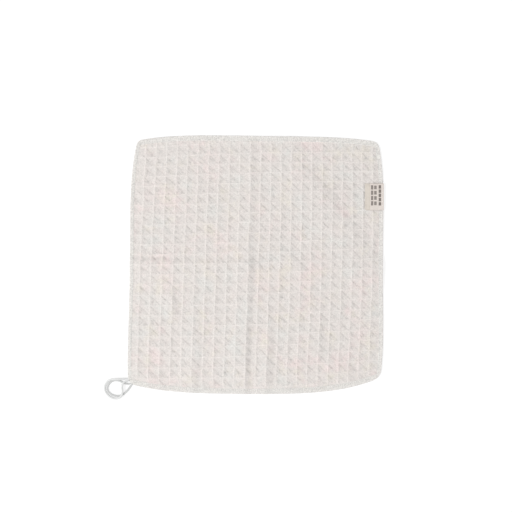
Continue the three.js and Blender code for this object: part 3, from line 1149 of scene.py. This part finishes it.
def thread_finish(settings):
    """Sewing thread of two twisted plies."""
    finish = Finish("sewing_thread", THREAD_LOOK)
    along, turn = finish.map_place(ALONG_MAP)
    plies = finish.wave(turn * PLIES + along / PLY_PITCH)
    place = finish.object_place()
    fluff = finish.noise(place, "thread fluff")
    speckle = finish.noise(place, "thread speckle")
    finish.paint(settings.colour, 1 + plies * PLY_SHADE + fluff * PLY_SHADE + speckle * HEM_SPECKLE)
    finish.bump(plies + fluff, settings.thread * PLY_DEPTH)
    return finish.material


# The ribbon's threads: their width in millimetres, their shade, gloss and relief
RIBBON_THREAD = 0.36
WEFT_SHADE = 0.015
CLOUD_SHADE = 0.02
RIBBON_ROUGHNESS = 0.5
GRAIN_ROUGHNESS = 0.06
WARP_DEPTH = 0.5
RIBBON_RELIEF = 0.00003

# The label's rows of dashes, in millimetres along the ribbon and from its near side
DASH_ROWS = (
    {"middle": 27.6, "width": 2.9, "count": 5, "gap": 0.9, "strength": 0.84},
    {"middle": 33.0, "width": 3.1, "count": 4, "gap": 1.9, "strength": 0.72},
    {"middle": 36.9, "width": 2.7, "count": 4, "gap": 1.1, "strength": 0.75},
)
DASHES_NEAR = 5.0
DASHES_FAR = 30.0
DASH_BLUR = 0.2


def ribbon_finish(settings, dashed):
    """Satin ribbon. The dashed one has three rows of plain, even dashes woven in."""
    finish = Finish("dashed_ribbon" if dashed else "plain_ribbon", RIBBON_LOOK)
    along, across = finish.map_place(ALONG_MAP)
    place = finish.object_place()
    weft = finish.wave(along / RIBBON_THREAD)
    warp = finish.wave(across / RIBBON_THREAD)
    grain = finish.noise(place, "ribbon grain")
    cloudy = finish.noise(place, "ribbon cloud") + grain
    brightness = 1 + weft * WEFT_SHADE + cloudy * CLOUD_SHADE
    colour = finish.brightened(settings.face_colour if dashed else settings.colour, brightness)
    if dashed:
        for row in DASH_ROWS:
            colour = finish.blend(dash_mask(finish, along, across, row), colour, settings.dash_colour)
    finish.shade("Base Color", colour)
    finish.shade("Roughness", RIBBON_ROUGHNESS + grain * GRAIN_ROUGHNESS)
    finish.bump(weft + (warp + grain) * WARP_DEPTH, RIBBON_RELIEF)
    return finish.material


def dash_mask(finish, along, across, row):
    """The strength of one row's dashes at a place on the ribbon."""
    off_row = finish.maths("ABSOLUTE", along - row["middle"])
    in_row = 1 - finish.rise(off_row, row["width"] / 2 - DASH_BLUR, row["width"] / 2 + DASH_BLUR)
    pitch = (DASHES_FAR - DASHES_NEAR) / row["count"]
    step = finish.maths("FRACT", (across - DASHES_NEAR) / pitch)
    off_dash = finish.maths("ABSOLUTE", step * pitch - pitch / 2)
    half_length = (pitch - row["gap"]) / 2
    in_dash = 1 - finish.rise(off_dash, half_length - DASH_BLUR, half_length + DASH_BLUR)
    past_near = finish.rise(across, DASHES_NEAR - DASH_BLUR, DASHES_NEAR)
    past_far = finish.rise(across, DASHES_FAR, DASHES_FAR + DASH_BLUR)
    return in_row * in_dash * past_near * (1 - past_far) * row["strength"]


# The cord's cover: plaits each way round it, the brightness of its hollows, which is painted shade, what its
# crowns, as a painted highlight, and its fluff add to that, and the relief of the fluff in plaits and of the
# plaits in diameters
BRAID_STRANDS = 6
BRAID_DARK = 0.98
BRAID_LIGHT = 0.03
BRAID_FLUFF_DEPTH = 0.3
BRAID_DEPTH = 1 / 90


def cord_finish(settings, name, colour):
    """Fine round cord with a braided cover."""
    finish = Finish(name, CORD_LOOK)
    along, turn = finish.map_place(ALONG_MAP)
    advance = along * (BRAID_STRANDS * MM / settings.braid)
    right_hand = turn * BRAID_STRANDS + advance
    left_hand = turn * BRAID_STRANDS - advance
    passing = finish.maths("FLOOR", right_hand) + finish.maths("FLOOR", left_hand)
    over = finish.maths("FLOORED_MODULO", passing, 2)
    right_plait, left_plait = (
        finish.maths("SINE", finish.maths("FRACT", hand) * math.pi) for hand in (right_hand, left_hand)
    )
    braid = right_plait * over + left_plait * (1 - over)
    fluff = finish.noise(finish.object_place(), "thread fluff")
    # Painted shade in the braid's hollows and a painted highlight on its crowns, with the fluff's random tone
    finish.paint(colour, BRAID_DARK + (braid + fluff) * BRAID_LIGHT)
    finish.bump(braid + fluff * BRAID_FLUFF_DEPTH, settings.diameter * BRAID_DEPTH)
    return finish.material


def floor_finish(settings):
    """Matt pale floor that gives off some light of its own, so that it stays white."""
    finish = Finish("pale_floor", FLOOR_LOOK)
    finish.shade("Base Color", settings.floor_colour)
    finish.shade("Emission Color", (1, 1, 1))
    finish.shade("Emission Strength", settings.floor_glow)
    return finish.material


# Operators


class TOWEL_OT_stage(bpy.types.Operator):
    """Make the floor, the soft light and the camera"""

    bl_idname = "towel.stage"
    bl_label = "Stage"

    # Half the floor's side, its height just below the towel, and the upper face's height, in metres
    FLOOR_HALF = 2.0
    FLOOR_HEIGHT = -0.0002
    UPPER_FACE = 0.0025

    # The point in x and y below the camera, and its sensor's width in millimetres
    VIEW_CENTRE = (0.0002, 0.0103)
    SENSOR = 36.0

    def execute(self, context):
        settings = context.scene.towel.stage
        scene = context.scene
        scene.view_settings.view_transform = "Standard"
        self.add_camera(scene, settings)
        self.add_light(scene, settings)
        self.add_floor(scene, settings)
        return {"FINISHED"}

    def add_camera(self, scene, settings):
        camera = bpy.data.cameras.new("overhead_camera")
        camera.sensor_width = self.SENSOR
        camera.lens = self.SENSOR * (settings.camera_height - self.UPPER_FACE) / settings.view_width
        holder = bpy.data.objects.new("overhead_camera", camera)
        holder.location = (*self.VIEW_CENTRE, settings.camera_height)
        scene.collection.objects.link(holder)
        scene.camera = holder

    def add_light(self, scene, settings):
        world = bpy.data.worlds.new("even_sky")
        world.use_nodes = True
        background = world.node_tree.nodes["Background"]
        background.inputs["Color"].default_value = (1, 1, 1, 1)
        background.inputs["Strength"].default_value = settings.sky
        scene.world = world
        lamp = bpy.data.lights.new("soft_lamp", "AREA")
        lamp.energy = settings.lamp
        lamp.size = settings.lamp_size
        holder = bpy.data.objects.new("soft_lamp", lamp)
        tilt = math.pi / 2 - settings.lamp_rise
        reach = settings.lamp_distance * math.cos(settings.lamp_rise)
        holder.location = (
            reach * math.cos(settings.lamp_turn),
            reach * math.sin(settings.lamp_turn),
            settings.lamp_distance * math.sin(settings.lamp_rise),
        )
        holder.rotation_euler = (tilt, 0, settings.lamp_turn + math.pi / 2)
        scene.collection.objects.link(holder)

    def add_floor(self, scene, settings):
        half = self.FLOOR_HALF
        mesh = bpy.data.meshes.new("floor")
        corners = [(-half, -half), (half, -half), (half, half), (-half, half)]
        mesh.from_pydata([(x, y, self.FLOOR_HEIGHT) for x, y in corners], [], [(0, 1, 2, 3)])
        mesh.materials.append(floor_finish(settings))
        floor = bpy.data.objects.new("floor", mesh)
        scene.collection.objects.link(floor)


class TOWEL_OT_loop(bpy.types.Operator):
    """Make the hanging loop's two strands of cord"""

    bl_idname = "towel.loop"
    bl_label = "Hanging Loop"

    def execute(self, context):
        settings = context.scene.towel.loop
        # The inner strand's darker colour is painted shade on the same cord
        colours = {"hanging_cord_outer": settings.outer_lit_colour, "hanging_cord_inner": settings.inner_shaded_colour}
        for node, strand in STRANDS.items():
            material = cord_finish(settings, f"{node}_braid", colours[node])
            route = [strand["start_in_hem"], *strand["route"], strand["end_in_hem"]]
            path = smooth_path(route, STRAND_STEP)
            parts = tube(path, self.radii(path, settings.diameter / MM / 2), STRAND_SIDES)
            piece = new_piece(f"{node}_strand", *parts, ALONG_MAP, [material], "cord")
            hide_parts(node)
            [place * MM for place in strand["route"][0]]
        return {"FINISHED"}

    def radii(self, path, radius):
        """The cord's radius along its path: pinched where the hem's stitches hold its two ends."""
        way = way_along(path)
        from_end = np.minimum(way, way[-1] - way)
        return radius * mix(PINCHED, 1, smooth(from_end / PINCH_LENGTH))


class TOWEL_OT_cloth(bpy.types.Operator):
    """Make the waffle cloth with its hem"""

    bl_idname = "towel.cloth"
    bl_label = "Waffle Cloth"

    # The sheet's flat size and area, in metres and square metres
    FLAT = (0.3044, 0.3071)
    AREA = 0.0905

    def execute(self, context):
        settings = context.scene.towel.cloth
        thread = context.scene.towel.stitches.thread / MM
        upper_a, upper_b, upper = upper_face(settings)
        under_a, under_b, under = under_face(settings)
        rings = hem_rings(thread / 2)
        count = upper.shape[0]
        offset = count * count
        upper_faces, upper_creases = grid_faces(count, len(UPPER_SAMPLES), 0, False)
        under_faces, under_creases = grid_faces(count, len(UNDER_SAMPLES), offset, True)
        hem_faces = self.hem_faces(boundary(count, 0), boundary(count, offset), 2 * offset, rings.shape[1])
        points = np.vstack([upper.reshape(-1, 3), under.reshape(-1, 3), rings.reshape(-1, 3)])
        weave = np.vstack(
            [
                weave_places(upper_a, upper_b, 0.0).reshape(-1, 2),
                weave_places(under_a, under_b, 0.5).reshape(-1, 2),
                rings.reshape(-1, 3)[:, :2] / PITCH,
            ]
        )
        faces = upper_faces + under_faces + hem_faces
        materials = [waffle_finish(settings), hem_finish(settings)]
        places = weave[face_corners(faces)]
        piece = new_piece("waffle_cloth", points, faces, places, WEAVE_MAP, materials, "cloth")
        sharpen(piece.data, upper_creases + under_creases)
        material_of_face = np.zeros(len(faces), dtype=np.int32)
        material_of_face[len(upper_faces) + len(under_faces) :] = 1
        piece.data.polygons.foreach_set("material_index", material_of_face)
        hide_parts("towel_cloth")
        return {"FINISHED"}

    def hem_faces(self, upper, under, offset, ring_count):
        """The faces between the upper seam, the hem's rings and the lower seam."""
        faces = []
        stations = len(upper)
        sections = []
        for number in range(stations):
            ring = [offset + number * ring_count + k for k in range(ring_count)]
            sections.append([upper[number], *ring, under[number]])
        for number in range(stations):
            here = sections[number]
            there = sections[(number + 1) % stations]
            for k in range(len(here) - 1):
                faces.append((here[k], here[k + 1], there[k + 1], there[k]))
        return faces


class TOWEL_OT_stitches(bpy.types.Operator):
    """Sew the overlock stitches round the hem"""

    bl_idname = "towel.stitches"
    bl_label = "Overlock Stitches"

    # The thread's sides, where each cell has a measured section of the hem, and what share of that section
    # its slope is taken over
    SIDES = 6
    STATION_SAMPLES = tuple(k / 16 for k in range(16))
    SLOPE_SHARE = 0.02

    # How far a stitch slips along the hem, where in the section the edge is, and how high the two loopers'
    # threads lie on it, in diameters
    UNEVEN = 0.09
    EDGE_SHARE = 0.5
    LOOPER_RISE = 0.15

    # Places within a stitch, and how far across the section each is: 0 at the upper seam, 1 at the lower one
    LOOP_PLACES = (0, 0.1, 0.24, 0.4, 0.5, 0.6, 0.76, 0.9)
    UPPER_LOOP = (0.52, 0.43, 0.3, 0.15, 0.08, 0.15, 0.3, 0.43)
    UNDER_LOOP = (0.5, 0.58, 0.7, 0.84, 0.9, 0.84, 0.7, 0.58)

    # The needle's thread: places within a stitch and its rise there, and how far across the section it runs
    NEEDLE_RUN = ((0, -0.3), (0.14, 0.12), (0.5, 0.3), (0.86, 0.12))
    NEEDLE_LINE = 0.1

    def execute(self, context):
        settings = context.scene.towel.stitches
        self.chance = random.Random(settings.seed)
        self.thread = settings.thread / MM
        self.seam, self.rim = (np.vstack([line, line[:1]]) for line in hem_round(self.STATION_SAMPLES))
        self.way = way_along(self.rim)
        self.count = round(self.way[-1] / (settings.pitch / MM))
        material = thread_finish(settings)
        paths = {
            "overlock_upper_thread": self.looper(self.UPPER_LOOP),
            "overlock_under_thread": self.looper(self.UNDER_LOOP),
            "overlock_needle_thread": self.needle(),
        }
        for name, path in paths.items():
            parts = tube(path, self.thread / 2, self.SIDES)
            new_piece(name, *parts, ALONG_MAP, [material], "cloth")
        return {"FINISHED"}

    def looper(self, loop):
        """The path of a thread that goes to and fro between the edge and a needle line."""
        places = []
        shares = []
        for number in range(self.count):
            slip = self.chance.uniform(-self.UNEVEN, self.UNEVEN)
            for part, share in zip(self.LOOP_PLACES, loop):
                reach = abs(share - self.EDGE_SHARE) / self.EDGE_SHARE
                places.append(number + part + slip * reach)
                shares.append(mix(share, self.EDGE_SHARE, slip * reach / 2))
        rises = np.full(len(places), self.LOOPER_RISE * self.thread)
        return self.on_hem(np.array(places), np.array(shares), rises)

    def needle(self):
        """The path of the needle's thread: a stitch between each two of the upper thread's turns."""
        places = []
        rises = []
        for number in range(self.count):
            slip = self.chance.uniform(-self.UNEVEN, self.UNEVEN) / 2
            for part, rise in self.NEEDLE_RUN:
                places.append(number + 0.5 + part + slip)
                rises.append(rise)
        places = np.array(places)
        return self.on_hem(places, np.full(len(places), self.NEEDLE_LINE), np.array(rises))

    def on_hem(self, places, shares, rises):
        """Points on the hem's section, or off it by a rise, for places counted in stitches."""
        way = np.mod(places / self.count, 1) * self.way[-1]
        seam = along_line(way, self.way, self.seam)
        rim = along_line(way, self.way, self.rim)
        width = np.linalg.norm(rim - seam, axis=1)
        section = np.array(HEM_SECTION, dtype=float)
        even = np.linspace(0, 1, len(section))
        out, height = along_line(shares, even, section).T
        before = along_line(shares - self.SLOPE_SHARE, even, section)
        after = along_line(shares + self.SLOPE_SHARE, even, section)
        way_out, way_up = (after - before).T
        fabric = width - self.thread / 2
        way_out = way_out * fabric
        size = np.hypot(way_out, way_up)
        reach = out * fabric - rises * way_up / size
        height = height + rises * way_out / size
        return lifted(mix(seam, rim, (reach / width)[:, None]), height)


class LabelGround:
    """What the label lies on: the cloth and its stitches, as points."""

    MARGIN = 8.0

    def __init__(self):
        low = (LABEL_LOWER_END - self.MARGIN, LABEL_NEAR - self.MARGIN)
        high = (LABEL_FOLD_AT + self.MARGIN, LABEL_FAR + self.MARGIN)
        found = []
        for name in ("waffle_cloth", "overlock_upper_thread", "overlock_needle_thread"):
            mesh = bpy.data.objects[name].data
            points = np.empty(len(mesh.vertices) * 3)
            mesh.vertices.foreach_get("co", points)
            points = points.reshape(-1, 3) / MM
            inside = np.all((points[:, :2] > low) & (points[:, :2] < high), axis=1)
            found.append(points[inside])
        self.points = np.vstack(found)

    def height(self, x, row):
        """How high the ribbon's underside lies across one of its rows: slack between the points that hold it
        up, and drooping towards its two side edges."""
        aside = (x[:, None] - self.points[:, 0]) ** 2 + (LABEL_NEAR + row - self.points[:, 1]) ** 2
        slack = np.max(self.points[:, 2] - aside / LABEL_SLACK, axis=1)
        tight = np.max(self.points[:, 2] - aside / LABEL_TIGHT, axis=1)
        from_side = min(row, LABEL_FAR - LABEL_NEAR - row)
        droop = LABEL_DROOP * (1 - smooth(from_side / LABEL_DROOP_FROM))
        return np.maximum(slack - droop, tight)


class TOWEL_OT_label(bpy.types.Operator):
    """Make the folded ribbon label and the stitches that hold it"""

    bl_idname = "towel.label"
    bl_label = "Label"

    FOLD_STEPS = 6

    # The label's stitches, in millimetres, with the height of each one's hump and of its ends above the cloth
    TACK_PITCH = 2.6
    TACK_LENGTH = 1.7
    TACK_POINTS = 7
    TACK_SIDES = 6
    TACK_RISE = 0.22
    TACK_ABOVE = 0.85

    def execute(self, context):
        settings = context.scene.towel.label
        self.ground = LabelGround()
        ribbon = self.add_ribbon(settings)
        stitches = self.add_stitches(context.scene.towel.stitches)
        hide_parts("side_label")
        return {"FINISHED"}

    def add_ribbon(self, settings):
        """The ribbon: a thin closed strip in two leaves, which lie on the cloth and meet at the fold."""
        half = settings.thickness / MM / 2
        rows = np.linspace(0, LABEL_FAR - LABEL_NEAR, LABEL_ROWS + 1)
        lower_steps = round((LABEL_FOLD_AT - LABEL_LOWER_END) / LABEL_STEP)
        upper_steps = round((LABEL_FOLD_AT - LABEL_UPPER_END) / LABEL_STEP)
        turns = np.linspace(-math.pi / 2, math.pi / 2, self.FOLD_STEPS + 1)[1:-1]
        points = []
        for row in rows:
            wave = 1 + math.sin(2 * math.pi * row / LABEL_WAVE_LENGTH)
            rise = LABEL_LEAF_GAP + 2 * half + LABEL_WAVE * wave
            fold_x = LABEL_FOLD_AT - rise / 2
            short = LABEL_CORNER - math.sqrt(max(LABEL_CORNER**2 - max(LABEL_CORNER - row, 0) ** 2, 0))
            lower_x = np.linspace(LABEL_LOWER_END + short, fold_x, lower_steps + 1)
            upper_x = np.linspace(fold_x, LABEL_UPPER_END, upper_steps + 1)
            lower_z = self.ground.height(lower_x, row) + LABEL_CLEARANCE + half
            upper_z = self.ground.height(upper_x, row) + LABEL_CLEARANCE + half + rise
            round_x = fold_x + rise / 2 * np.cos(turns)
            round_z = lower_z[-1] + rise / 2 * (1 + np.sin(turns))
            x = np.concatenate([lower_x, round_x, upper_x])
            line = np.column_stack([x, np.concatenate([lower_z, round_z, upper_z])])
            ways = np.gradient(line, axis=0)
            ways /= np.linalg.norm(ways, axis=1, keepdims=True)
            off = np.column_stack([ways[:, 1], -ways[:, 0]]) * half
            outline = np.vstack([line + off, (line - off)[::-1]])
            y = np.full(len(outline), LABEL_NEAR + row)
            points.append(np.column_stack([outline[:, 0], y, outline[:, 1]]))
        middle = points[LABEL_ROWS // 2][: len(points[0]) // 2]
        way = way_along(middle)
        self.length = way[-1]
        return self.ribbon_mesh(settings, np.array(points), way, rows, lower_steps + self.FOLD_STEPS // 2)

    def ribbon_mesh(self, settings, points, way, rows, fold):
        """The ribbon's mesh, from a closed section for each of its rows. The upper face has the dashes."""
        round_count = points.shape[1]
        faces = []
        places = []
        dashed_faces = []
        way_round = np.concatenate([way, way[::-1]])
        for r in range(LABEL_ROWS):
            for k in range(round_count):
                n = (k + 1) % round_count
                here, there = r * round_count, (r + 1) * round_count
                faces.append((here + k, there + k, there + n, here + n))
                ends = [(way_round[k], rows[r]), (way_round[k], rows[r + 1])]
                places += [*ends, (way_round[n], rows[r + 1]), (way_round[n], rows[r])]
                dashed_faces.append(fold <= k < len(way) - 1)
        for r, order in ((0, 1), (LABEL_ROWS, -1)):
            for k in range(len(way) - 1):
                mirror = round_count - 1 - k
                numbers = [k, k + 1, mirror - 1, mirror][::order]
                faces.append(tuple(r * round_count + number for number in numbers))
                places += [(way_round[number], rows[r]) for number in numbers]
                dashed_faces.append(False)
        materials = [ribbon_finish(settings, False), ribbon_finish(settings, True)]
        points = points.reshape(-1, 3)
        ribbon = new_piece("folded_label", points, faces, places, ALONG_MAP, materials, "label")
        ribbon.data.polygons.foreach_set("material_index", np.array(dashed_faces, dtype=np.int32))
        return ribbon

    def add_stitches(self, settings):
        """A row of short stitches that holds the label on the hem."""
        room = LABEL_FAR - LABEL_NEAR - 2 * LABEL_TACK_MARGIN
        count = int(room / self.TACK_PITCH)
        tacks = []
        for number in range(count):
            start = LABEL_TACK_MARGIN + (number + 0.5) * room / count - self.TACK_LENGTH / 2
            path = []
            for share in np.linspace(0, 1, self.TACK_POINTS):
                row = start + share * self.TACK_LENGTH
                above = self.TACK_ABOVE + self.TACK_RISE * math.sin(math.pi * share)
                height = self.ground.height(np.array([LABEL_TACK_X]), row)[0] + above
                path.append((LABEL_TACK_X, LABEL_NEAR + row, height))
            tacks.append(tube(path, settings.thread / MM / 2, self.TACK_SIDES))
        return new_piece("label_stitches", *joined(tacks), ALONG_MAP, [thread_finish(settings)], "cloth")


class TOWEL_PT_panel(bpy.types.Panel):
    """The towel's settings and the buttons that make its pieces"""

    bl_idname = "TOWEL_PT_panel"
    bl_label = "Waffle Bar Towel"
    bl_space_type = "VIEW_3D"
    bl_region_type = "UI"
    bl_category = "Towel"

    def draw(self, context):
        settings = context.scene.towel
        for group, operator in GROUPS:
            box = self.layout.box()
            values = getattr(settings, group)
            for name in values.bl_rna.properties.keys():
                if name not in ("name", "rna_type"):
                    box.prop(values, name)
            box.operator(operator)


# Each group of settings with the operator that uses it, in the order in which they are run
GROUPS = (
    ("stage", TOWEL_OT_stage.bl_idname),
    ("loop", TOWEL_OT_loop.bl_idname),
    ("cloth", TOWEL_OT_cloth.bl_idname),
    ("stitches", TOWEL_OT_stitches.bl_idname),
    ("label", TOWEL_OT_label.bl_idname),
)

CLASSES = (
    ClothSettings,
    StitchSettings,
    LabelSettings,
    LoopSettings,
    StageSettings,
    TowelSettings,
    TOWEL_OT_stage,
    TOWEL_OT_loop,
    TOWEL_OT_cloth,
    TOWEL_OT_stitches,
    TOWEL_OT_label,
    TOWEL_PT_panel,
)


def register():
    for cls in CLASSES:
        bpy.utils.register_class(cls)
    bpy.types.Scene.towel = PointerProperty(type=TowelSettings)


def unregister():
    del bpy.types.Scene.towel
    for cls in reversed(CLASSES):
        bpy.utils.unregister_class(cls)


def main():
    register()
    bpy.ops.towel.stage()
    bpy.ops.towel.loop()
    bpy.ops.towel.cloth()
    bpy.ops.towel.stitches()
    bpy.ops.towel.label()


if __name__ == "__main__":
    main()
